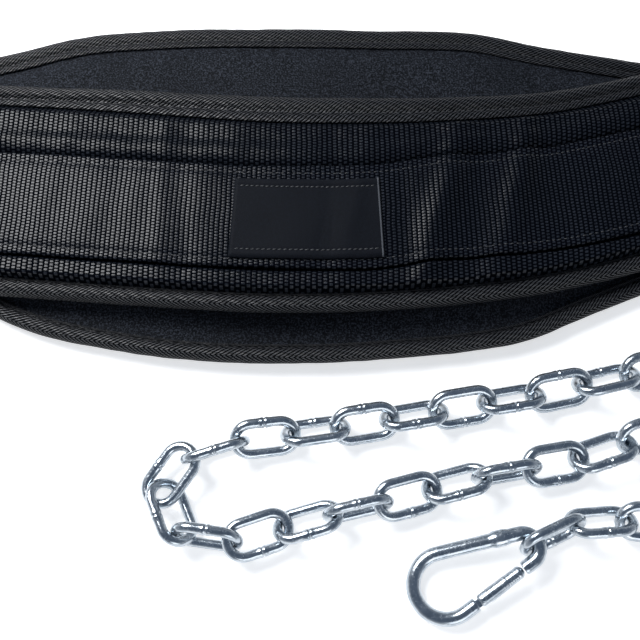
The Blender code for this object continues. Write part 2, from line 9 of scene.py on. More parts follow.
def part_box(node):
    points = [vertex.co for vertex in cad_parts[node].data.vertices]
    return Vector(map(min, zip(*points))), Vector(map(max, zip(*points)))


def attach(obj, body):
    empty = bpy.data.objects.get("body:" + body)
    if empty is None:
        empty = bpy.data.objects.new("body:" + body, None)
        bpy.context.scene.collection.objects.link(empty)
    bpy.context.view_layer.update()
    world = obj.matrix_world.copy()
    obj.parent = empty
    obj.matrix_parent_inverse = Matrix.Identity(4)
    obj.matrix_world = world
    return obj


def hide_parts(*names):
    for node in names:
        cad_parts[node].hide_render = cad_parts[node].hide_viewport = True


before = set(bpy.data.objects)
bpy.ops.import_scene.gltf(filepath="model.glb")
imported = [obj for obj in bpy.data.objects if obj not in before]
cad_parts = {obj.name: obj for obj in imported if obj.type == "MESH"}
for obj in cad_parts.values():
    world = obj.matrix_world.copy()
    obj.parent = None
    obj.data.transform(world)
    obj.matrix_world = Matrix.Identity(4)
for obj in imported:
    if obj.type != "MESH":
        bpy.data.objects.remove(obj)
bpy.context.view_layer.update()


# The base pad
# A wide contoured lumbar pad of neoprene-faced foam that lies against the wearer's back. It is cut flat,
# bound with tape all round, and sewn to the outer belt along the middle, so it bows up off the surface.
MM = 0.001
PICTURE_MIDDLE = Vector((-9.366, -9.605)) * MM
GAP = 0.3 * MM
BASE_LENGTH = 490 * MM
BASE_WIDTH = 180 * MM
BASE_CORNER = 24 * MM
BASE_THICK = 4.0 * MM
BASE_ROLL = 4.2 * MM
BASE_CUT_EDGE = 1.7 * MM
BASE_LIFT = 4 * MM
BASE_HEADINGS = [(-1, -6), (-0.41, -4.5), (0, 0.5), (0.41, 5.5), (1, 9)]
BASE_OUTLINE = [(-1, 0.40), (-0.92, 0.5), (-0.82, 0.63), (-0.67, 0.775), (-0.6, 0.85), (-0.54, 0.9),
                (-0.46, 0.94), (-0.25, 0.995), (0, 1), (0.17, 0.98), (0.25, 0.97), (0.375, 0.93),
                (0.5, 0.823), (0.67, 0.69), (0.82, 0.56), (0.92, 0.46), (1, 0.38)]
TAPE_REACH = 9 * MM


def along_table(table, share):
    """The value of a two-column table at a share, on a smooth curve through its rows."""
    if share <= table[0][0]:
        return table[0][1]
    if share >= table[-1][0]:
        return table[-1][1]
    i = max(k for k in range(len(table) - 1) if table[k][0] <= share)
    (x0, y0), (x1, y1) = table[i], table[i + 1]
    before = table[i - 1] if i else (2 * x0 - x1, 2 * y0 - y1)
    after = table[i + 2] if i + 2 < len(table) else (2 * x1 - x0, 2 * y1 - y0)
    span = x1 - x0
    slope0 = (y1 - before[1]) / (x1 - before[0]) * span
    slope1 = (after[1] - y0) / (after[0] - x0) * span
    t = (share - x0) / span
    return (y0 * (2 * t ** 3 - 3 * t ** 2 + 1) + slope0 * (t ** 3 - 2 * t ** 2 + t)
            + y1 * (3 * t ** 2 - 2 * t ** 3) + slope1 * (t ** 3 - t ** 2))


def ease(share):
    share = min(max(share, 0.0), 1.0)
    return share * share * (3 - 2 * share)


def hump(along, half):
    return math.cos(math.pi / 2 * min(abs(along) / half, 1)) ** 2


def swell(x, middle, width):
    """A soft rise of 1 at the middle that has died away one width from it."""
    return math.exp(-(2 * (x - middle) / width) ** 2)


def ripple(along, across, size, seed=0.0):
    """Slow unevenness of cloth, from -1 to 1, with bumps about this size."""
    return noise.noise(Vector((along / size, across / size, seed)))


class PadLine:
    """A pad's centreline as laid out, walked from its middle by its headings."""

    STEP = 2 * MM
    RUN_ON = 1.4

    def __init__(self, place, length, headings, aside=0.0):
        self.half = length / 2
        self.headings = headings
        self.aside = aside
        self.points = {0: place}
        for sign in (1, -1):
            here = place
            for k in range(round(self.half * self.RUN_ON / self.STEP)):
                turn = self.heading(sign * (k + 0.5) * self.STEP)
                here = here + sign * self.STEP * Vector((math.cos(turn), math.sin(turn)))
                self.points[sign * (k + 1)] = here

    def heading(self, along):
        return math.radians(along_table(self.headings, along / self.half))

    def at(self, along, across=0.0):
        k = math.floor(along / self.STEP)
        middle = self.points[k].lerp(self.points[k + 1], along / self.STEP - k)
        turn = self.heading(along)
        return middle + (across + self.aside) * Vector((-math.sin(turn), math.cos(turn)))


class PadCut:
    """The shape a pad is cut to, flat: its half width along its length, and its rim for the tape.

    Its lean says how much wider the tape's flat strip is on the upper side, and on the lower side."""

    LEAN_REACH = 200 * MM
    LEAN_BLEND = 20 * MM

    def __init__(self, length, width, corner, table, lean=(0, 0)):
        self.half = length / 2
        self.width = width
        self.corner = corner
        self.table = table
        self.straight = self.half - corner
        self.lean = lean

    def half_width(self, along):
        inner = min(abs(along), self.straight)
        side = self.width / 2 * along_table(self.table, math.copysign(inner, along) / self.half)
        past = min(abs(along) - inner, self.corner)
        return side - self.corner + math.sqrt(self.corner ** 2 - past ** 2)

    def from_rim(self, along, across):
        """About how far a point lies inside the rim."""
        return max(min(self.half_width(along) - abs(across), self.half - abs(along)), 0)

    def strip(self, flat):
        """How wide the tape's flat strip is here, as a share: the roll can lean away from it or over it."""
        upper = 1 + self.lean[0] * hump(flat.x, self.LEAN_REACH)
        lower = 1 + self.lean[1] * (1 - ease((abs(flat.x) / self.half - 0.7) / 0.2))
        return lower + (upper - lower) * ease(flat.y / self.LEAN_BLEND + 0.5)

    def rim(self, step):
        """The rim as equal steps of (point, outward direction, distance run)."""
        count = 120
        stations = [self.straight * (2 * k / count - 1) for k in range(count + 1)]
        top = [Vector((along, self.half_width(along))) for along in stations]
        corners = [math.radians(3 * k) for k in range(1, 30)]
        ends = {}
        for sign in (1, -1):
            side = self.half_width(sign * self.straight) - self.corner
            ends[sign] = [Vector((sign * (self.straight + self.corner * math.sin(a)),
                                  side + self.corner * math.cos(a))) for a in corners]
            ends[sign].append(Vector((sign * self.half, side)))
        upper = ends[-1][::-1] + top + ends[1]
        whole = upper + [Vector((p.x, -p.y)) for p in reversed(upper)]
        lengths = [0.0]
        for one, two in zip(whole, whole[1:] + whole[:1]):
            lengths.append(lengths[-1] + (two - one).length)
        number = round(lengths[-1] / step)
        spots = []
        k = 0
        for n in range(number):
            want = lengths[-1] * n / number
            while lengths[k + 1] < want:
                k += 1
            share = (want - lengths[k]) / max(lengths[k + 1] - lengths[k], 1e-9)
            spots.append(whole[k].lerp(whole[(k + 1) % len(whole)], share))
        run = []
        for n, spot in enumerate(spots):
            travel = spots[(n + 2) % number] - spots[n - 2]
            run.append((spot, Vector((-travel.y, travel.x)).normalized(), lengths[-1] * n / number))
        return run


BASE_LINE = PadLine(PICTURE_MIDDLE + Vector((0, 69 * MM)), BASE_LENGTH, BASE_HEADINGS)
BASE_CUT = PadCut(BASE_LENGTH, BASE_WIDTH, BASE_CORNER, BASE_OUTLINE, lean=(0, -0.6))


def base_middle(along):
    return BASE_ROLL + BASE_LIFT * hump(along, BASE_LENGTH / 2)


def dress(name, work, surface, body, nodes, smooth=180):
    """Make the object for a finished mesh and put it in the frame in place of its CAD nodes."""
    mesh = bpy.data.meshes.new(name)
    work.to_mesh(mesh)
    work.free()
    mesh.shade_smooth()
    if smooth < 180:
        mesh.set_sharp_from_angle(angle=math.radians(smooth))
    mesh.materials.append(surface)
    piece = bpy.data.objects.new(name, mesh)
    bpy.context.scene.collection.objects.link(piece)
    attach(piece, body)
    if nodes:
        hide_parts(*nodes)
    return piece


def panel(columns, rows, place):
    """A closed flat panel: two faces of a grid bridged round the edge, then every point put in its place."""
    work = bmesh.new()
    bmesh.ops.create_grid(work, x_segments=columns, y_segments=rows, size=1)
    copied = bmesh.ops.duplicate(work, geom=work.verts[:] + work.edges[:] + work.faces[:])
    upper = [part for part in copied["geom"] if isinstance(part, bmesh.types.BMVert)]
    bmesh.ops.translate(work, vec=(0, 0, 1), verts=upper)
    bmesh.ops.bridge_loops(work, edges=[edge for edge in work.edges if edge.is_boundary])
    bmesh.ops.recalc_face_normals(work, faces=work.faces)
    cloth = work.loops.layers.uv.new("cloth")
    spots = {vertex: place(vertex.co.x, vertex.co.y, vertex.co.z > 0.5) for vertex in work.verts}
    for face in work.faces:
        for loop in face.loops:
            loop[cloth].uv = spots[loop.vert][1]
    for vertex, (point, _) in spots.items():
        vertex.co = point
    return work


class Signal:
    """A number that varies over a surface: a shader socket that takes part in ordinary sums."""

    def __init__(self, finish, socket):
        self.finish = finish
        self.socket = socket

    def sum(self, operation, *others):
        inputs = {k: value for k, value in enumerate((self, *others))}
        return self.finish.node("ShaderNodeMath", {"operation": operation}, inputs)

    def __add__(self, other):
        return self.sum("ADD", other)

    def __mul__(self, other):
        return self.sum("MULTIPLY", other)

    def __sub__(self, other):
        return self.sum("SUBTRACT", other)

    def __truediv__(self, other):
        return self.sum("DIVIDE", other)

    def __rsub__(self, other):
        return self.finish.node("ShaderNodeMath", {"operation": "SUBTRACT"}, {0: other, 1: self})

    __radd__ = __add__
    __rmul__ = __mul__

    def fraction(self):
        return self.sum("FRACT")

    def whole(self):
        return self.sum("FLOOR")

    def wave(self):
        """0 to 1 and back for each whole step."""
        return (self * (2 * math.pi)).sum("COSINE") * -0.5 + 0.5

    def size(self):
        return self.sum("ABSOLUTE")

    def above(self, level, over):
        """0 below the level, 1 from a bit over it."""
        return self.finish.node("ShaderNodeMapRange", {"interpolation_type": "SMOOTHSTEP"},
                                {0: self, 1: level, 2: level + over, 3: 0.0, 4: 1.0})


class Finish:
    """A material in the making, with its constants on its shader's own sockets."""

    def __init__(self, name, **constants):
        self.material = bpy.data.materials.new(name)
        self.material.use_nodes = True
        self.tree = self.material.node_tree
        self.shader = self.tree.nodes["Principled BSDF"]
        for socket, value in constants.items():
            self.shader.inputs[socket.replace("_", " ")].default_value = value

    def node(self, kind, settings=None, inputs=None, output=0):
        made = self.tree.nodes.new(kind)
        for key, value in (settings or {}).items():
            setattr(made, key, value)
        for key, value in (inputs or {}).items():
            if isinstance(value, Signal):
                self.tree.links.new(value.socket, made.inputs[key])
            else:
                made.inputs[key].default_value = value
        return Signal(self, made.outputs[output])

    def cloth_mm(self):
        """The two ways of the cloth, along and across, in millimetres."""
        way = self.node("ShaderNodeUVMap", {"uv_map": "cloth"})
        parts = self.node("ShaderNodeSeparateXYZ", None, {0: way})
        along = parts * 1000
        across = Signal(self, parts.socket.node.outputs[1]) * 1000
        return along, across

    def grain(self, scale, detail=2.0, roughness=0.5):
        """Noise from 0 to 1 on Object coordinates, with so many bumps to the metre."""
        place = self.node("ShaderNodeTexCoord", output=3)
        inputs = {"Vector": place, "Scale": scale, "Detail": detail, "Roughness": roughness}
        return self.node("ShaderNodeTexNoise", None, inputs)

    def colours(self, mask, low, high):
        inputs = {0: mask, 6: (*low, 1), 7: (*high, 1)}
        return self.node("ShaderNodeMix", {"data_type": "RGBA"}, inputs, output=2)

    def feed(self, socket, signal):
        self.tree.links.new(signal.socket, self.shader.inputs[socket])

    def gloss_over_shaded_ground(self, proud, colour):
        """Let the shader show only where threads stand proud, over a matt ground between them whose dark
        colour is painted shade in the valleys.
        """
        painted_shade_ground = self.node("ShaderNodeBsdfPrincipled", None, {"Base Color": (*colour, 1), "Roughness": 1.0,
                                                              "Specular IOR Level": 0.0})
        gloss = Signal(self, self.shader.outputs[0])
        both = self.node("ShaderNodeMixShader", None, {0: proud, 1: painted_shade_ground, 2: gloss})
        self.tree.links.new(both.socket, self.tree.nodes["Material Output"].inputs[0])

    def relief(self, height, depth_mm, strength=1.0):
        inputs = {"Height": height, "Distance": depth_mm * MM, "Strength": strength}
        self.feed("Normal", self.node("ShaderNodeBump", None, inputs))


def neoprene():
    made = Finish("neoprene", Roughness=0.75, Specular_IOR_Level=0.12)
    pile = made.grain(1150, 3, roughness=0.7)
    cloud = made.grain(28, 2)
    speck = pile.above(0.44, 0.22)
    tone = speck * (cloud * 0.8 + 0.4)
    made.feed("Base Color", made.colours(tone, (0.0006, 0.0014, 0.003), (0.036, 0.042, 0.056)))
    made.relief(pile, 0.35, 0.8)
    return made.material


NEOPRENE = neoprene()


BASE_RAMP = 12 * MM
BASE_BILLOW = 34 * MM


def base_place(x, y, upper):
    along = x * BASE_LENGTH / 2
    across = y * BASE_CUT.half_width(along)
    deep = BASE_CUT.from_rim(along, across)
    full = ease((deep - TAPE_REACH + 1 * MM) / BASE_RAMP)
    thick = BASE_CUT_EDGE + (BASE_THICK - BASE_CUT_EDGE) * full
    uneven = 0.55 * MM * full * ripple(along, across, BASE_BILLOW, 2.0)
    pucker = 0.5 * MM * ripple(along, across, 11 * MM, 5.0)
    uneven += pucker * swell(deep, TAPE_REACH + 6 * MM, BASE_RAMP)
    spot = BASE_LINE.at(along, across)
    height = base_middle(along) + (thick + uneven if upper else -thick)
    return Vector((*spot, height)), (along, across)


base_pad = dress("base_pad", panel(220, 84, base_place), NEOPRENE, "belt", ["base_pad"])


# The tape that binds the base pad
# Herringbone twill tape folded over the pad's edge round a soft roll and sewn through with one row of
# lockstitch, which pulls a groove along the roll and leaves a narrow flat strip inside it.
TAPE_THICK = 1.4 * MM
TAPE_STEP = 2.6 * MM
ROLL_OUT = 3.1 * MM
GROOVE_AT = -5.1 * MM
SHOULDER = -3.1 * MM
STITCH_PITCH = 3.6 * MM


def tape_section(cut_edge, roll):
    """The folded tape's section as (out from the rim, up from the pad's middle), from fold to fold."""
    inside = cut_edge + GAP
    flat = inside + TAPE_THICK
    upper = [(ROLL_OUT, 0.0), (2.95 * MM, 0.28 * roll), (2.45 * MM, 0.53 * roll), (1.6 * MM, 0.75 * roll),
             (0.5 * MM, 0.92 * roll), (-0.8 * MM, roll), (-2.0 * MM, 0.985 * roll), (-3.1 * MM, 0.9 * roll),
             (-3.9 * MM, flat - 0.1 * MM), (-4.5 * MM, flat - 0.9 * MM),
             (GROOVE_AT, flat - 1.1 * MM), (-5.7 * MM, flat - 0.7 * MM), (-6.5 * MM, flat - 0.05 * MM),
             (-8.0 * MM, flat - 0.1 * MM), (-8.8 * MM, flat - 0.3 * MM), (-TAPE_REACH, flat - 0.7 * MM)]
    lower = [(n, -z) for n, z in upper[1:]]
    wall = [(-TAPE_REACH, -inside), (-0.5 * TAPE_REACH, -inside), (0.2 * MM, -inside), (0.2 * MM, inside),
            (-0.5 * TAPE_REACH, inside), (-TAPE_REACH, inside)]
    return lower[::-1] + upper, wall


def tape(name, line, cut, middle, cut_edge, roll, surface):
    """Roll a grid into the folded tape, along the whole rim of the flat pad, and bend it with the pad."""
    outer, wall = tape_section(cut_edge, roll)
    section = outer + wall[::-1]
    fold = outer.index((ROLL_OUT, 0.0))
    ways = [0.0]
    for one, two in zip(section, section[1:]):
        ways.append(ways[-1] + math.dist(one, two))
    run = cut.rim(TAPE_STEP)
    columns, rows = len(run), len(section)
    work = bmesh.new()
    bmesh.ops.create_grid(work, x_segments=columns, y_segments=rows, size=1)
    cloth = work.loops.layers.uv.new("cloth")
    spots = {}
    for vertex in work.verts:
        k = round((vertex.co.x + 1) / 2 * columns)
        j = round((vertex.co.y + 1) / 2 * rows)
        point, outward, distance = run[k % columns]
        n, z = section[j % rows]
        if j % rows < len(outer):
            pucker = ripple(distance, 0.3 * MM * j, 7 * MM, 9.0) * 0.3 * MM
            pucker += ripple(distance, 0, 40 * MM, 4.0) * 0.35 * MM
            grip = 0.25 * MM * math.cos(2 * math.pi * distance / STITCH_PITCH) * swell(n, GROOVE_AT, 3 * MM)
            bulge = swell(n, -0.5 * MM, 7 * MM)
            n += pucker * 0.6 * swell(n, ROLL_OUT, 6 * MM)
            z += math.copysign(1, z) * (pucker * bulge - grip) if z else 0
        if n < SHOULDER:
            n = SHOULDER + (n - SHOULDER) * cut.strip(point)
        flat = point + outward * n
        spot = line.at(flat.x, flat.y)
        way = ways[j] if j < len(ways) else ways[-1]
        travelled = distance if k < columns else run[-1][2] + TAPE_STEP
        spots[vertex] = (Vector((*spot, middle(flat.x) + z)), (travelled, way - ways[fold]))
    for face in work.faces:
        for loop in face.loops:
            loop[cloth].uv = spots[loop.vert][1]
    for vertex, (point, _) in spots.items():
        vertex.co = point
    bmesh.ops.remove_doubles(work, verts=work.verts, dist=0.002 * MM)
    bmesh.ops.recalc_face_normals(work, faces=work.faces)
    return dress(name, work, surface, "belt", [name])


def twill():
    made = Finish("herringbone_tape", Specular_IOR_Level=0.7)
    along, across = made.cloth_mm()
    wander = made.grain(16, 1) * 5 - 2.5
    slant = (across.size() + wander - 4.2).size()
    wale = along / 2.3 + slant * 0.62
    ridge = wale.wave()
    yarn = (across / 0.95 + along * 0.3).wave()
    thread = ridge.above(0.12, 0.6) * (yarn * 0.6 + 0.4)
    fleck = made.grain(1500, 2)
    # painted shade: the colour drops to the dark colour between the wales and yarns, where thread is low
    tone = thread * (fleck * 1.6 + 0.1)
    made.feed("Base Color", made.colours(tone, (0.0013, 0.0016, 0.0024), (0.045, 0.047, 0.054)))
    made.feed("Roughness", fleck * 0.3 + 0.28)
    # the matt ground's dark colour is painted shade between the wales
    made.gloss_over_shaded_ground(thread * (fleck * 1.4 + 0.3), (0.0015, 0.0018, 0.0024))
    made.relief(thread, 0.2, 1.0)
    return made.material


TWILL = twill()
tape("base_binding", BASE_LINE, BASE_CUT, base_middle, BASE_CUT_EDGE, BASE_ROLL, TWILL)


def thread_black():
    made = Finish("sewing_thread", Roughness=0.5)
    along = made.grain(900, 1)
    made.feed("Base Color", made.colours(along, (0.006, 0.007, 0.009), (0.05, 0.052, 0.058)))
    return made.material


THREAD = thread_black()


def stitch_row(name, places, thick=0.7 * MM, long=2.5 * MM, surface=None):
    """Lockstitches: one short rounded thread for each (point, direction, up) of the row."""
    work = bmesh.new()
    for point, direction, up in places:
        made = bmesh.ops.create_icosphere(work, subdivisions=1, radius=0.5)
        side = up.cross(direction).normalized()
        rise = direction.cross(side).normalized()
        turn = Matrix((direction * long, side * thick, rise * thick * 0.8)).transposed().to_4x4()
        bmesh.ops.transform(work, matrix=Matrix.Translation(point) @ turn, verts=made["verts"])
    return dress(name, work, surface or THREAD, "belt", [])


def tape_stitches(line, cut, middle, cut_edge):
    """Places of the stitches in the tape's groove, on the upper face."""
    height = cut_edge + GAP + TAPE_THICK - 0.9 * MM
    run = cut.rim(STITCH_PITCH)
    places = []
    for k, (point, outward, _) in enumerate(run):
        seam = SHOULDER + (GROOVE_AT - SHOULDER) * cut.strip(point)
        flat = point + outward * seam
        ahead = run[(k + 1) % len(run)]
        flat_ahead = ahead[0] + ahead[1] * seam
        here = Vector((*line.at(flat.x, flat.y), middle(flat.x) + height))
        there = Vector((*line.at(flat_ahead.x, flat_ahead.y), middle(flat_ahead.x) + height))
        places.append((here, (there - here).normalized(), Vector((0, 0, 1))))
    return places


stitch_row("base_binding_stitches", tape_stitches(BASE_LINE, BASE_CUT, base_middle, BASE_CUT_EDGE))


# The outer belt
# A long foam pad in a shell of ribbed nylon, narrower than the base pad and lying on it. The shell is drawn
# down under the tape at its rim and by the strap's stitching, so it stands up in a puffed band between them.
BELT_LENGTH = 690 * MM
BELT_WIDTH = 108 * MM
BELT_ASIDE = 2.5 * MM
BELT_CORNER = 26 * MM
BELT_OVER = 6.6 * MM
BELT_UNDER = 4.4 * MM
BELT_ROLL = 5.0 * MM
BELT_CUT_EDGE = 2.0 * MM
BELT_BOW = 5 * MM
BELT_HEADINGS = [(-1, -8), (-0.45, -5), (-0.165, -5), (0, 0), (0.165, 4.5), (0.31, 9), (0.44, 15), (1, 17)]
BELT_OUTLINE = [(-1, 0.74), (-0.9, 0.79), (-0.7, 0.92), (-0.45, 1), (0, 1), (0.25, 0.96), (0.45, 0.9),
                (0.7, 0.86), (0.9, 0.79), (1, 0.74)]
STRAP_WIDTH = 53 * MM
STRAP_THICK = 2.4 * MM
STRAP_ASIDE = -9.3 * MM
STRAP_BACK = 3.2 * MM
SHELL_BELOW_STRAP = 0.4 * MM
BAND_CREST = 1.1 * MM
BAND_RISE = 1.3 * MM
BAND_MIDDLE = 8 * MM
UPPER_RAMP = 6 * MM
LOWER_RAMP = 2.6 * MM
UPPER_STEP = 3.5 * MM
LOWER_STEP = 1.8 * MM
SOFT_BILLOW = 22 * MM
CREASES = [(62, 17, 3.3, 0.35), (80, 9, -0.5, 0.3), (97, 15, 2.9, 0.4), (118, 14, -0.6, 0.1),
           (44, 10, -0.5, 0.0), (20, 9, 0.35, 0.2), (8, 8, -0.5, 0.1), (-60, 9, -0.4, -0.1),
           (-72, 8, 0.45, -0.1), (-96, 13, -0.4, 0.2), (-130, 12, 0.5, 0.1), (150, 11, 0.6, -0.1),
           (178, 14, -0.5, 0.1)]

BELT_LINE = PadLine(PICTURE_MIDDLE + Vector((-4, 51)) * MM, BELT_LENGTH, BELT_HEADINGS, BELT_ASIDE)
STRAP_LINE = PadLine(PICTURE_MIDDLE + Vector((-4, 51)) * MM, BELT_LENGTH, BELT_HEADINGS)
BELT_CUT = PadCut(BELT_LENGTH, BELT_WIDTH, BELT_CORNER, BELT_OUTLINE, lean=(0.5, -0.65))


def belt_middle(along):
    half = BELT_LENGTH / 2
    rest = BASE_LENGTH / 2 + 12 * MM
    on_base = base_middle(along) + BASE_ROLL + GAP + BELT_ROLL + BELT_BOW * hump(along, 0.55 * half)
    return on_base + (BELT_ROLL - on_base) * ease((abs(along) - rest) / (half - rest))


def belt_top(along):
    """What the strap's underside follows: the belt's crown, then down to the tape at the ends."""
    half = BELT_LENGTH / 2
    full = half - 21 * MM
    drop = ease((abs(along) - full) / (half - 6 * MM - full))
    return belt_middle(along) + BELT_OVER + (BELT_ROLL - BELT_OVER) * drop + GAP


def strap_aside(along):
    """The strap is sewn nearer to the belt's lower edge over the middle, and on its line at the rings."""
    share = along / (BELT_LENGTH / 2)
    aside = STRAP_ASIDE + STRAP_BACK * ease((share - 0.06) / 0.13)
    return aside * (1 - ease((abs(share) - 0.52) / 0.28))


def creases(along, across):
    """Folds that run across the belt where it has been rolled up, soft and a little slanted."""
    height = 0.0
    for middle, width, rise, slant in CREASES:
        bent = middle * MM + slant * across + 1.5 * MM * ripple(across, middle, 18 * MM, 1.0)
        fade = 0.75 + 0.5 * ripple(across, along, 25 * MM, middle)
        height += rise * MM * swell(along, bent, width * MM) * fade
    return height


def ribbed(name, pitch, bead, low, high, roughness):
    """Nylon with ribs across the cloth, each a row of small yarn beads; the low colour in the valleys between
    them is painted shade.
    """
    made = Finish(name, Specular_IOR_Level=0.34)
    along, across = made.cloth_mm()
    drift = made.grain(45, 1) * 0.5
    lane = along / pitch + drift
    rib = lane.fraction() * 2 - 1
    dome = 1 - rib * rib
    bead_row = (across / bead + lane.whole() * 0.5).wave()
    height = dome * (bead_row * 0.45 + 0.55)
    fleck = made.grain(1300, 2, roughness=0.6)
    cloud = made.grain(30, 2)
    yarn = dome.above(0.3, 0.6) * (bead_row.above(0.12, 0.5) * 0.85 + 0.15)
    # painted shade: where yarn is low, between the ribs and beads, the colour falls to the low colour
    tone = yarn * (fleck * 1.2 + 0.15) * (cloud * 0.7 + 0.65)
    made.feed("Base Color", made.colours(tone, low, high))
    made.feed("Roughness", fleck * 0.25 + (roughness - 0.12))
    # the matt ground between the threads takes the low colour as painted shade
    made.gloss_over_shaded_ground(yarn.above(0.15, 0.7) * (fleck * 1.3 + 0.1), low)
    made.relief(height, 0.09, 1.0)
    return made.material


# the first colour is the painted shade in the valleys between the ribs, the second the yarn tops
SHELL_CLOTH = ribbed("ribbed_shell", 2.55, 1.75, (0.0013, 0.0018, 0.003), (0.016, 0.020, 0.029), 0.36)


def tape_end(along, across):
    """How far in from the rim the tape reaches on the upper face."""
    return -SHOULDER + (TAPE_REACH + SHOULDER) * BELT_CUT.strip(Vector((along, across)))


def belt_place(x, y, upper):
    along = x * BELT_LENGTH / 2
    half = BELT_CUT.half_width(along)
    across = y * half
    deep = BELT_CUT.from_rim(along, across)
    spot = BELT_LINE.at(along, across)
    low_side = across < 0
    ramp = LOWER_RAMP if low_side and upper else UPPER_RAMP
    full = ease((deep - tape_end(along, across) + 0.6 * MM) / ramp)
    if not upper:
        thick = BELT_CUT_EDGE + (BELT_UNDER - BELT_CUT_EDGE) * full
        return Vector((*spot, belt_middle(along) - thick)), (along, across)
    from_strap = across + BELT_ASIDE - strap_aside(along)
    beside = abs(from_strap) - STRAP_WIDTH / 2
    end = ease((BELT_LENGTH / 2 - 34 * MM - abs(along)) / (20 * MM))
    band = ease(beside / (LOWER_STEP if low_side else UPPER_STEP)) if beside > 0 else 0.0
    arch = 1 if low_side else hump(beside - BAND_MIDDLE, BAND_MIDDLE)
    crest = (BAND_CREST + BAND_RISE * arch) * band * end
    thick = BELT_CUT_EDGE + (BELT_OVER - SHELL_BELOW_STRAP - BELT_CUT_EDGE + crest) * full
    uneven = ripple(along, across, 26 * MM, 7.0) * 0.6 * MM
    uneven += ripple(along, 2 * across, 9 * MM, 3.0) * 0.3 * MM
    pull = -0.6 * MM * swell(beside, 0.3 * MM, 2.4 * MM) * end
    if beside > 0:
        uneven += creases(along, from_strap)
    else:
        uneven = min(uneven, 0) * 0.3 + min(creases(along, from_strap), 0) - 0.2 * MM
    return Vector((*spot, belt_middle(along) + thick + (uneven + pull) * full)), (spot.x, across)


belt_pad = dress("belt_pad", panel(420, 104, belt_place), SHELL_CLOTH, "belt", ["belt_pad"])


# The tape that binds the outer belt
# The same herringbone tape and stitching as on the base pad, on a slightly fatter roll.
tape("belt_binding", BELT_LINE, BELT_CUT, belt_middle, BELT_CUT_EDGE, BELT_ROLL, TWILL)
stitch_row("belt_binding_stitches", tape_stitches(BELT_LINE, BELT_CUT, belt_middle, BELT_CUT_EDGE))


# The strap
# Two inch load webbing of nylon, woven with the same kind of ribs but finer, sewn to the shell a few
# millimetres inside both edges, and folded back at either end round the bar of a D-ring.
STRAP_LAP = 52 * MM
RING_BAR_AT = BELT_LENGTH / 2 + 15 * MM
RING_BAR_UP = belt_top(BELT_LENGTH / 2) + STRAP_THICK + 0.15 * MM
RING_WIRE = 6 * MM
SEAM_IN = 4 * MM


def strap_way():
    """The webbing's own middle as close (along, height) points, from the left lap round to the right lap."""
    lap_end = BELT_LENGTH / 2 - STRAP_LAP
    run_on = BELT_LENGTH / 2 + 5 * MM
    turn = RING_WIRE / 2 + GAP + STRAP_THICK / 2
    steps = [lap_end + (run_on - lap_end) * k / 24 for k in range(25)]
    upper = [(along, belt_top(along) + 1.5 * STRAP_THICK + GAP) for along in steps]
    loop = [(RING_BAR_AT + turn * math.sin(math.radians(a)), RING_BAR_UP + turn * math.cos(math.radians(a)))
            for a in range(0, 181, 10)]
    lower = [(along, belt_top(along) + STRAP_THICK / 2) for along in reversed(steps)]
    count = 320
    flat = [lap_end * (2 * k / count - 1) for k in range(1, count)]
    across = [(along, belt_top(along) + STRAP_THICK / 2) for along in flat]
    right = upper + loop + lower
    return [(-along, height) for along, height in right] + across + right[::-1], len(right)


def soft_rise(along, across):
    """The webbing's slow unevenness, which the label and the stitches on it share."""
    return ripple(along, across, SOFT_BILLOW, 6.0) * 0.45 * MM


def edge_wander(along, side):
    """How far the webbing's edge strays from straight."""
    return 0.7 * MM * ripple(along, side, 45 * MM, 11.0) + 0.25 * MM * ripple(along, side, 12 * MM, 12.0)


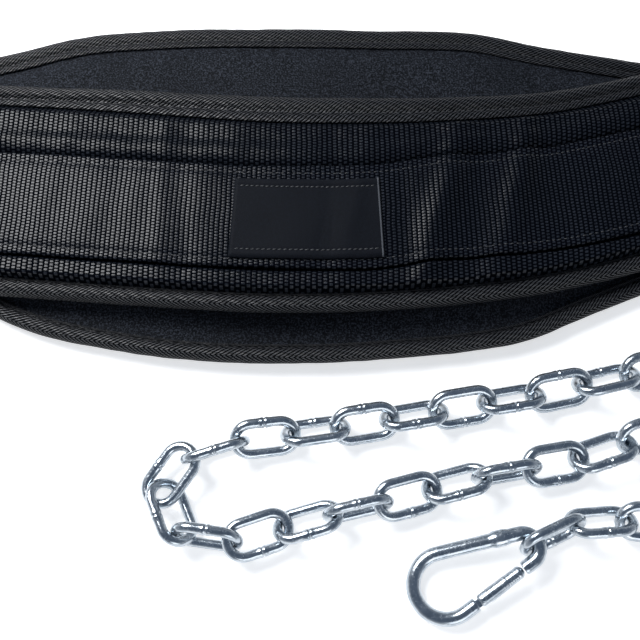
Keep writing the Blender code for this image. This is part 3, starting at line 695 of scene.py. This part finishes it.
def strap_mesh():
    way, lap = strap_way()
    turns = []
    for k in range(len(way)):
        before, after = way[max(k - 1, 0)], way[min(k + 1, len(way) - 1)]
        travel = Vector((after[0] - before[0], after[1] - before[1])).normalized()
        turns.append(Vector((-travel.y, travel.x)))
    half = STRAP_WIDTH / 2
    round_edge = [(0.0, 0.42), (0.35 * MM, 0.8), (0.9 * MM, 0.97)]
    shares = [half - inset for inset, _ in round_edge]
    inner = [half * (1 - 2 * k / 40) for k in range(2, 39)]
    face = [(a, s) for a, (_, s) in zip(shares, round_edge)] + [(a, 1.0) for a in inner]
    face += [(-a, s) for a, (_, s) in zip(reversed(shares), reversed(round_edge))]
    section = [(a, s, True) for a, s in face] + [(a, s, False) for a, s in reversed(face)]
    columns, rows = len(way) - 1, len(section)
    work = bmesh.new()
    bmesh.ops.create_grid(work, x_segments=columns, y_segments=rows, size=1)
    cloth = work.loops.layers.uv.new("cloth")
    spots = {}
    travelled = [0.0]
    for one, two in zip(way, way[1:]):
        travelled.append(travelled[-1] + math.dist(one, two))
    for vertex in work.verts:
        k = round((vertex.co.x + 1) / 2 * columns)
        j = round((vertex.co.y + 1) / 2 * rows)
        a, share, upper = section[j % rows]
        along, height = way[k]
        on_belt = 0.0 if k < lap or k >= len(way) - lap else 1.0
        fade = on_belt * ease((BELT_LENGTH / 2 - STRAP_LAP - 6 * MM - abs(along)) / (14 * MM))
        outward = 1 if upper else -1
        lift = STRAP_THICK / 2 * share * outward
        if upper or fade:
            near_seam = swell(abs(a), half - SEAM_IN, 2.6 * MM)
            fold = max(creases(along, a), -0.5 * MM) if upper else max(creases(along, a) * 0.4, -0.25 * MM)
            soft = soft_rise(along, a) if upper else 0
            belly = 0.35 * MM * (1 - (a / half) ** 2) if upper else 0
            lift += fade * (fold + soft + belly - (0.5 * MM * near_seam if upper else 0))
        a += edge_wander(along, math.copysign(1, a)) * (abs(a) / half) ** 4
        spot = STRAP_LINE.at(along + turns[k].x * lift, a + strap_aside(along))
        lean = -a * math.sin(0.7 * STRAP_LINE.heading(along))
        spots[vertex] = (Vector((*spot, height + turns[k].y * lift)), (travelled[k] + lean, a))
    for face in work.faces:
        for loop in face.loops:
            loop[cloth].uv = spots[loop.vert][1]
    for vertex, (point, _) in spots.items():
        vertex.co = point
    bmesh.ops.remove_doubles(work, verts=work.verts, dist=0.002 * MM)
    bmesh.ops.holes_fill(work, edges=[edge for edge in work.edges if edge.is_boundary], sides=0)
    bmesh.ops.recalc_face_normals(work, faces=work.faces)
    return work


# the first colour is the painted shade in the valleys between the ribs, the second the yarn tops
WEBBING = ribbed("load_webbing", 2.36, 1.62, (0.0015, 0.002, 0.0034), (0.018, 0.022, 0.032), 0.34)
dress("strap", strap_mesh(), WEBBING, "belt", ["strap"])


def strap_seams():
    places = []
    for side in (1, -1):
        count = 236
        reach = BELT_LENGTH / 2 - 8 * MM
        for k in range(count):
            along = reach * (2 * k / count - 1)
            across = side * (STRAP_WIDTH / 2 - SEAM_IN)
            lap = abs(along) > BELT_LENGTH / 2 - STRAP_LAP
            height = belt_top(along) + (2 * STRAP_THICK + GAP if lap else STRAP_THICK) - 0.35 * MM
            if not lap:
                height += max(creases(along, across), -0.5 * MM) + soft_rise(along, across)
            turn = STRAP_LINE.heading(along)
            places.append((Vector((*STRAP_LINE.at(along, across + strap_aside(along)), height + 0.05 * MM)),
                           Vector((math.cos(turn), math.sin(turn), 0)), Vector((0, 0, 1))))
    for end in (1, -1):
        for cross in (0, 1):
            for k in range(12):
                along = end * (BELT_LENGTH / 2 - 12 * MM - cross * (STRAP_LAP - 20 * MM))
                across = (STRAP_WIDTH / 2 - SEAM_IN) * (2 * k / 11 - 1)
                turn = STRAP_LINE.heading(along)
                height = belt_top(along) + 2 * STRAP_THICK + GAP
                places.append((Vector((*STRAP_LINE.at(along, across + strap_aside(along)), height)),
                               Vector((-math.sin(turn), math.cos(turn), 0)), Vector((0, 0, 1))))
    return places


stitch_row("strap_stitches", strap_seams(), thick=0.6 * MM, long=2.0 * MM)


# The label
# A plain woven patch, navy so dark that it is nearly black, left bare. Its long edges are turned under and
# sewn with a row of slanting stitches, and its right fold has a thin light line painted on as a painted
# highlight.
LABEL_LENGTH = 70.5 * MM
LABEL_WIDTH = 41 * MM
LABEL_THICK = 1.0 * MM
LABEL_AT = (-2 * MM, -1.7 * MM)


def label_place(x, y, upper):
    along = LABEL_AT[0] + x * LABEL_LENGTH / 2
    across = LABEL_AT[1] + y * LABEL_WIDTH / 2
    base = belt_top(along) + STRAP_THICK + GAP
    folds = max(creases(along, across), -0.3 * MM) + soft_rise(along, across)
    belly = 0.35 * MM * (1 - (across / (STRAP_WIDTH / 2)) ** 2)
    rim = min(LABEL_LENGTH / 2 * (1 - abs(x)), LABEL_WIDTH / 2 * (1 - abs(y)))
    soft = 1 - 0.7 * (1 - ease(rim / (1.2 * MM)))
    hem = 0.3 * MM * swell(LABEL_WIDTH / 2 * (1 - abs(y)), 2.6 * MM, 5 * MM)
    seam = -0.35 * MM * swell(LABEL_WIDTH / 2 * (1 - abs(y)), 4.2 * MM, 1.8 * MM)
    lift = (LABEL_THICK * soft + hem + seam) if upper else 0.1 * MM
    spot = STRAP_LINE.at(along, across + strap_aside(along))
    return Vector((*spot, base + folds + belly + lift)), (along, across)


def label_cloth():
    made = Finish("label_cloth", Roughness=0.7, Specular_IOR_Level=0.1)
    along, across = made.cloth_mm()
    weave = (along / 0.55).wave() * 0.5 + (across / 0.5).wave() * 0.5
    # painted highlight: a thin light grey line about a millimetre inside the right edge, where the fold
    # catches the light
    edge = (along - 32.2).size()
    fleck = made.grain(1600, 2)
    tone = weave * 0.4 + fleck * 0.6
    cloth = made.colours(tone.above(0.2, 0.8), (0.001, 0.0015, 0.003), (0.006, 0.0085, 0.0145))
    fold = 1 - edge.above(0.1, 0.45)
    made.feed("Base Color", made.node("ShaderNodeMix", {"data_type": "RGBA"},
                                      {0: fold * 0.6, 6: cloth, 7: (0.16, 0.17, 0.19, 1)}, output=2))
    made.relief(tone, 0.12, 0.7)
    return made.material


LABEL_CLOTH = label_cloth()
dress("label", panel(110, 60, label_place), LABEL_CLOTH, "belt", ["label"])


def label_seams():
    places = []
    for side in (1, -1):
        count = 27
        for k in range(count):
            x = (2 * (k + 0.5) / count - 1) * 0.93
            y = side * (1 - 4.2 * MM / (LABEL_WIDTH / 2))
            point, (along, across) = label_place(x, y, True)
            turn = STRAP_LINE.heading(along) + math.radians(14)
            places.append((point + Vector((0, 0, 0.1 * MM)), Vector((math.cos(turn), math.sin(turn), 0)),
                           Vector((0, 0, 1))))
    return places


stitch_row("label_stitches", label_seams(), thick=0.75 * MM, long=2.5 * MM)


# The D-rings
# Round steel wire bent to a D, butt welded in the straight bar and zinc plated. One sits in each end loop of
# the strap and leans down to the surface, the right one through the chain's first link.
RING_DEPTH = 36 * MM
RING_CORNER = 5 * MM
RING_HALF_BAR = STRAP_WIDTH / 2 + 1 * MM + RING_CORNER
LINK_WIRE = 4.8 * MM
LINK_HALF_WIDTH = 7.7 * MM


def zinc():
    made = Finish("zinc_plate", Metallic=1.0)
    film = made.grain(160, 3, roughness=0.6)
    wear = made.grain(700, 3, roughness=0.7)
    cloud = made.grain(45, 2)
    bright = (film * 0.6 + wear * 0.4).above(0.3, 0.4)
    made.feed("Base Color", made.colours(bright, (0.34, 0.39, 0.44), (0.56, 0.60, 0.64)))
    made.feed("Roughness", wear.above(0.45, 0.35) * 0.16 + cloud * 0.12 + 0.13)
    made.relief(wear * 0.5 + film * 0.5, 0.16, 0.5)
    return made.material


ZINC = zinc()


def wire_mesh(name, points, radii, closed, sides=20):
    """Round wire along points, as thick as the radii say, made a mesh."""
    curve = bpy.data.curves.new(name, "CURVE")
    curve.dimensions = "3D"
    curve.bevel_depth = 1.0
    curve.bevel_resolution = sides // 2 - 2
    curve.use_fill_caps = not closed
    spline = curve.splines.new("POLY")
    spline.points.add(len(points) - 1)
    for made, point, radius in zip(spline.points, points, radii):
        made.co = (*point, 1)
        made.radius = radius
    spline.use_cyclic_u = closed
    guide = bpy.data.objects.new(name, curve)
    bpy.context.scene.collection.objects.link(guide)
    bpy.context.view_layer.update()
    mesh = bpy.data.meshes.new_from_object(guide.evaluated_get(bpy.context.evaluated_depsgraph_get()))
    bpy.data.objects.remove(guide)
    work = bmesh.new()
    work.from_mesh(mesh)
    bmesh.ops.remove_doubles(work, verts=work.verts, dist=0.002 * MM)
    bmesh.ops.recalc_face_normals(work, faces=work.faces)
    return work


def turn_about(centre, radius, start, end, steps):
    return [Vector((centre[0] + radius * math.cos(math.radians(start + (end - start) * k / steps)),
                    centre[1] + radius * math.sin(math.radians(start + (end - start) * k / steps)), 0))
            for k in range(steps + 1)]


def d_ring(name, side, dip):
    corner, half_bar, bow = RING_CORNER, RING_HALF_BAR, RING_DEPTH
    bar = half_bar - corner
    points = [Vector((0, bar * t, 0)) for t in (-1, -0.6, -0.2, -0.06, -0.02, 0.02, 0.06, 0.2, 0.6, 1)]
    points += turn_about((corner, bar), corner, 180, 90, 8)[1:]
    turns = [math.radians(a) for a in range(34, 147, 4)]
    points += [Vector((corner + (bow - corner) * math.sin(a), half_bar * math.cos(a), 0)) for a in turns]
    points += turn_about((corner, -bar), corner, 270, 180, 8)[:-1]
    welds = [0.08 * swell(abs(point.y), 0.6 * MM, 1.6 * MM) if point.x < MM else 0 for point in points]
    radii = [RING_WIRE / 2 * (1 + weld) for weld in welds]
    work = wire_mesh(name, points, radii, True)
    spot = STRAP_LINE.at(side * RING_BAR_AT)
    turn = STRAP_LINE.heading(side * RING_BAR_AT) + (0 if side > 0 else math.pi)
    lean = Matrix.Rotation(turn, 4, "Z") @ Matrix.Rotation(dip, 4, "Y")
    pose = Matrix.Translation((*spot, RING_BAR_UP)) @ lean
    bmesh.ops.transform(work, matrix=pose, verts=work.verts)
    return dress(name, work, ZINC, "belt", [name])


CHAIN_END_UP = LINK_WIRE / 2 + LINK_HALF_WIDTH * math.sin(math.radians(70)) + 0.1 * MM
d_ring("d_ring_left", -1, math.asin((RING_BAR_UP - RING_WIRE / 2) / RING_DEPTH))
d_ring("d_ring_right", 1, math.asin((RING_BAR_UP - CHAIN_END_UP) / RING_DEPTH))


# The chain
# Welded links of round steel wire, zinc plated and tumbled. Each is closed by a butt weld in the middle of
# one long side, which leaves a raised collar with a nick across it.
LINK_HALF = 24.05 / 2 * MM + LINK_WIRE / 2


def link_shape():
    """One link round the origin, its length along X: wire extruded and spun for one half, then mirrored."""
    bend = LINK_HALF_WIDTH
    middle = LINK_HALF - bend
    radius = LINK_WIRE / 2
    work = bmesh.new()
    start = Matrix.Translation((0, -bend, 0)) @ Matrix.Rotation(math.pi / 2, 4, "Y")
    bmesh.ops.create_circle(work, segments=16, radius=radius, matrix=start)
    ring = work.edges[:]
    stops = [0.25, 0.55, 0.9, 1.3, 1.9, 2.6, 3.4]
    here = 0.0
    for stop in [s * MM for s in stops] + [middle]:
        grown = bmesh.ops.extrude_edge_only(work, edges=ring)
        ring = [part for part in grown["geom"] if isinstance(part, bmesh.types.BMEdge)]
        verts = [part for part in grown["geom"] if isinstance(part, bmesh.types.BMVert)]
        bmesh.ops.translate(work, vec=(stop - here, 0, 0), verts=verts)
        here = stop
    spun = bmesh.ops.spin(work, geom=ring, cent=(middle, 0, 0), axis=(0, 0, 1), angle=math.pi, steps=18,
                          use_merge=False)
    ring = [part for part in spun["geom_last"] if isinstance(part, bmesh.types.BMEdge)]
    for stop in [s * MM for s in reversed(stops)] + [0.0]:
        grown = bmesh.ops.extrude_edge_only(work, edges=ring)
        ring = [part for part in grown["geom"] if isinstance(part, bmesh.types.BMEdge)]
        verts = [part for part in grown["geom"] if isinstance(part, bmesh.types.BMVert)]
        bmesh.ops.translate(work, vec=(stop - here, 0, 0), verts=verts)
        here = stop
    bmesh.ops.mirror(work, geom=work.verts[:] + work.edges[:] + work.faces[:], axis="X", merge_dist=0.01 * MM)
    for vertex in work.verts:
        x, y, z = vertex.co
        if y > 0.3 * bend and abs(x) < 4 * MM:
            away = Vector((0, y - bend, z))
            collar = 0.11 * swell(abs(x), 0.9 * MM, 2.2 * MM) - 0.13 * swell(x, 0, 0.7 * MM)
            vertex.co = Vector((x, bend, 0)) + away * (1 + collar)
    bmesh.ops.remove_doubles(work, verts=work.verts, dist=0.002 * MM)
    bmesh.ops.recalc_face_normals(work, faces=work.faces)
    mesh = bpy.data.meshes.new("link_shape")
    work.to_mesh(mesh)
    work.free()
    return mesh


def node_axes(name):
    """The middle of a wire node and its two longest axes, longest first, from how its points are spread."""
    points = [vertex.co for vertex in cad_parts[name].data.vertices]
    low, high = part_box(name)
    middle = (low + high) / 2
    spread = Matrix(((0, 0, 0), (0, 0, 0), (0, 0, 0)))
    for point in points:
        d = point - middle
        for i in range(3):
            for j in range(3):
                spread[i][j] += d[i] * d[j]
    longest = Vector((1, 0.3, 0.2))
    for _ in range(60):
        longest = (spread @ longest).normalized()
    rest = spread.copy()
    strength = longest.dot(spread @ longest)
    for i in range(3):
        for j in range(3):
            rest[i][j] -= strength * longest[i] * longest[j]
    second = longest.orthogonal()
    for _ in range(60):
        second = (rest @ second).normalized()
    return middle, longest, second


LINK_COUNT = 43
LINK_SHAPE = link_shape()
for number in range(1, LINK_COUNT + 1):
    name = f"chain_link_{number:02d}"
    middle, longest, second = node_axes(name)
    if longest.x > 0:
        longest = -longest
    if second.z < 0:
        second = -second
    if number % 3 == 1:
        second = -second
    pose = Matrix((longest, second, longest.cross(second))).transposed().to_4x4()
    work = bmesh.new()
    work.from_mesh(LINK_SHAPE)
    bmesh.ops.transform(work, matrix=Matrix.Translation(middle) @ pose, verts=work.verts)
    dress(name, work, ZINC, "belt", [name])
bpy.data.meshes.remove(LINK_SHAPE)


# The snap hook
# A pear-shaped spring hook of zinc plated wire. The wire runs from the nose round the small eye, along the
# spine with a pressed shoulder, and round the big end to a flat tongue that the forked gate is riveted to.
HOOK_WIRE = 6.6 * MM
HOOK_BIG = 14.2 * MM
HOOK_SMALL = 6.8 * MM
HOOK_REACH = 38.8 * MM
NOSE_RUN = 5.5 * MM
GATE_LENGTH = 21.8 * MM
GATE_CLEARANCE = 0.5 * MM
TONGUE = 2.6 * MM
PIN_WIRE = 2.2 * MM
tilt = math.asin((CHAIN_END_UP - HOOK_WIRE / 2) / (HOOK_REACH + HOOK_BIG))
hook_eye = PICTURE_MIDDLE + Vector((91, -110.5)) * MM
HOOK_POSE = (Matrix.Translation((*hook_eye, CHAIN_END_UP)) @ Matrix.Rotation(math.radians(24), 4, "Z")
             @ Matrix.Rotation(-tilt, 4, "Y"))
slope = math.asin((HOOK_BIG - HOOK_SMALL) / HOOK_REACH)
along_gate = Vector((math.cos(slope), math.sin(slope), 0))
nose_end = HOOK_SMALL * Vector((math.sin(slope), -math.cos(slope), 0)) - along_gate * NOSE_RUN
gate_tip = nose_end - along_gate * GATE_CLEARANCE
hinge = gate_tip - along_gate * GATE_LENGTH
HINGE_POSE = Matrix.Translation(hinge) @ Matrix.Rotation(slope, 4, "Z")


def between(one, two, steps):
    return [one.lerp(two, k / steps) for k in range(1, steps)]


def cut_away(work, low, high, pose, operation="DIFFERENCE"):
    """Cut a block out of a wire, or weld one on, with a live Boolean made real at once."""
    block = bmesh.new()
    bmesh.ops.create_cube(block, size=1)
    size = [b - a for a, b in zip(low, high)]
    middle = [(a + b) / 2 for a, b in zip(low, high)]
    there = pose @ Matrix.Translation(middle) @ Matrix.Diagonal((*size, 1))
    bmesh.ops.transform(block, matrix=there, verts=block.verts)
    bmesh.ops.bevel(block, geom=block.edges[:], offset=0.25 * MM, affect="EDGES", segments=2, profile=0.5,
                    material=-1)
    bmesh.ops.recalc_face_normals(block, faces=block.faces)
    pair = []
    for label, source in (("wire", work), ("block", block)):
        mesh = bpy.data.meshes.new(label)
        source.to_mesh(mesh)
        source.free()
        pair.append(bpy.data.objects.new(label, mesh))
        bpy.context.scene.collection.objects.link(pair[-1])
    wire, tool = pair
    made = wire.modifiers.new("cut", "BOOLEAN")
    made.object = tool
    made.operation = operation
    bpy.context.view_layer.update()
    mesh = bpy.data.meshes.new_from_object(wire.evaluated_get(bpy.context.evaluated_depsgraph_get()))
    for piece in pair:
        bpy.data.objects.remove(piece)
    done = bmesh.new()
    done.from_mesh(mesh)
    return done


def hook_body():
    turn = math.degrees(slope)
    eye = turn_about((0, 0), HOOK_SMALL, turn - 90, 90 - turn, 26)
    big_end = turn_about((-HOOK_REACH, 0), HOOK_BIG, 90 - turn, 270 + turn, 44)
    end = hinge - along_gate * 0.55 * HOOK_WIRE
    nose = [nose_end, nose_end + along_gate * 0.35 * MM, nose_end + along_gate * 1.0 * MM]
    points = nose + between(nose[-1], eye[0], 5) + eye + between(eye[-1], big_end[0], 26) + big_end
    points += between(big_end[-1], end, 8) + [end - along_gate * 0.4 * MM, end]
    radii = []
    for k, point in enumerate(points):
        radius = HOOK_WIRE / 2
        if point.y > 0 and -16 * MM < point.x < 4 * MM:
            shoulder = ease((point.x + 11.5 * MM) / (0.9 * MM)) * ease((-3.2 * MM - point.x) / (2.4 * MM))
            radius *= 1 + 0.17 * shoulder
        if k < 3:
            radius *= (0.8, 0.95, 1.0)[k]
        if k >= len(points) - 2:
            radius *= (0.97, 0.86)[k - len(points) + 2]
        radii.append(radius)
    work = wire_mesh("hook_body", points, radii, False, 24)
    reach = 0.3 * HOOK_WIRE
    work = cut_away(work, (-HOOK_WIRE, -reach, -TONGUE / 2), (0.25 * HOOK_WIRE, reach, TONGUE / 2),
                    HINGE_POSE, "UNION")
    bmesh.ops.transform(work, matrix=HOOK_POSE, verts=work.verts)
    return work


def hook_gate():
    start = hinge - along_gate * 0.3 * HOOK_WIRE
    points, radii = [], []
    length = (gate_tip - start).length
    for k in range(61):
        reach = length * k / 60
        from_tip = length - reach
        radius = HOOK_WIRE / 2 * (0.97 - 0.05 * ease(reach / length))
        radius *= math.sqrt(max(1 - (1 - min(from_tip / (2.2 * MM), 1)) ** 2, 0.18))
        if 3 * MM < from_tip < 9 * MM:
            radius *= 1 - 0.05 * (0.5 + 0.5 * math.cos(2 * math.pi * from_tip / (1.1 * MM)))
        if reach < 0.8 * MM:
            radius *= 0.86 + 0.14 * ease(reach / (0.8 * MM))
        points.append(start + along_gate * reach)
        radii.append(radius)
    work = wire_mesh("hook_gate", points, radii, False, 24)
    fork = TONGUE / 2 + GAP
    work = cut_away(work, (-2 * HOOK_WIRE, -HOOK_WIRE, -fork), (0.3 * HOOK_WIRE + 2 * GAP, HOOK_WIRE, fork),
                    HINGE_POSE)
    bmesh.ops.transform(work, matrix=HOOK_POSE, verts=work.verts)
    return work


def hook_pin():
    work = bmesh.new()
    bmesh.ops.create_cone(work, cap_ends=True, segments=24, radius1=PIN_WIRE / 2, radius2=PIN_WIRE / 2,
                          depth=HOOK_WIRE * 1.04)
    rims = [edge for edge in work.edges if edge.verts[0].co.z * edge.verts[1].co.z > 0]
    bmesh.ops.bevel(work, geom=rims, offset=0.4 * MM, affect="EDGES", segments=3, profile=0.5, material=-1)
    bmesh.ops.transform(work, matrix=HOOK_POSE @ HINGE_POSE, verts=work.verts)
    return work


dress("hook_body", hook_body(), ZINC, "belt", ["hook_body"], 35)
dress("hook_gate", hook_gate(), ZINC, "gate", ["hook_gate"], 35)
dress("hook_pin", hook_pin(), ZINC, "belt", ["hook_pin"], 35)


# The floor, the light and the camera
# A plain white surface under soft studio light: a soft lamp high on the upper left, a weaker one in front,
# and a bright horizon under a darker ceiling, which makes the wire's flanks bright and its tops dark.
floor_mesh = bpy.data.meshes.new("floor")
floor_work = bmesh.new()
bmesh.ops.create_grid(floor_work, x_segments=1, y_segments=1, size=4)
floor_work.to_mesh(floor_mesh)
floor_work.free()
floor = bpy.data.objects.new("floor", floor_mesh)
bpy.context.scene.collection.objects.link(floor)
white = Finish("white_surface", Roughness=0.9, Specular_IOR_Level=0.1, Emission_Strength=0.6)
paper = white.grain(60, 2)
white.feed("Base Color", white.colours(paper, (0.80, 0.80, 0.80), (0.83, 0.83, 0.83)))
white.shader.inputs["Emission Color"].default_value = (1, 1, 1, 1)
floor_mesh.materials.append(white.material)

world = bpy.data.worlds.new("studio")
bpy.context.scene.world = world
world.use_nodes = True
sky = world.node_tree
sky_way = sky.nodes.new("ShaderNodeTexCoord")
sky_parts = sky.nodes.new("ShaderNodeSeparateXYZ")
sky.links.new(sky_way.outputs["Generated"], sky_parts.inputs[0])
sky_ramp = sky.nodes.new("ShaderNodeValToRGB")
sky_ramp.color_ramp.elements[0].position = 0.12
sky_ramp.color_ramp.elements[0].color = (0.55, 0.58, 0.62, 1)
sky_ramp.color_ramp.elements[1].position = 0.62
sky_ramp.color_ramp.elements[1].color = (0.13, 0.165, 0.22, 1)
sky.links.new(sky_parts.outputs[2], sky_ramp.inputs[0])
sky.links.new(sky_ramp.outputs[0], sky.nodes["Background"].inputs[0])
sky.nodes["Background"].inputs[1].default_value = 1.0


def soft_lamp(name, place, aim, size, power):
    lamp = bpy.data.lights.new(name, "AREA")
    lamp.shape = "SQUARE"
    lamp.size = size
    lamp.energy = power
    holder = bpy.data.objects.new(name, lamp)
    bpy.context.scene.collection.objects.link(holder)
    holder.location = place
    holder.rotation_euler = (Vector(aim) - Vector(place)).to_track_quat("-Z", "Y").to_euler()


soft_lamp("lamp_upper_left", (-0.55, 0.45, 0.75), (0, 0, 0), 0.5, 14.5)
soft_lamp("lamp_front", (0.5, -1.5, 0.7), (0, 0, 0), 0.9, 5)

CAMERA_STANDS = Vector((0, -135.97, 418.46)) * MM
camera = bpy.data.cameras.new("camera")
camera.lens = 50
camera.sensor_width = 36
camera.clip_start = 0.01
bpy.context.scene.view_settings.view_transform = "Standard"
viewer = bpy.data.objects.new("camera", camera)
bpy.context.scene.collection.objects.link(viewer)
viewer.location = Vector((*PICTURE_MIDDLE, 0)) + CAMERA_STANDS
viewer.rotation_euler = (-CAMERA_STANDS).to_track_quat("-Z", "Y").to_euler()
bpy.context.scene.camera = viewer

bpy.context.view_layer.update()
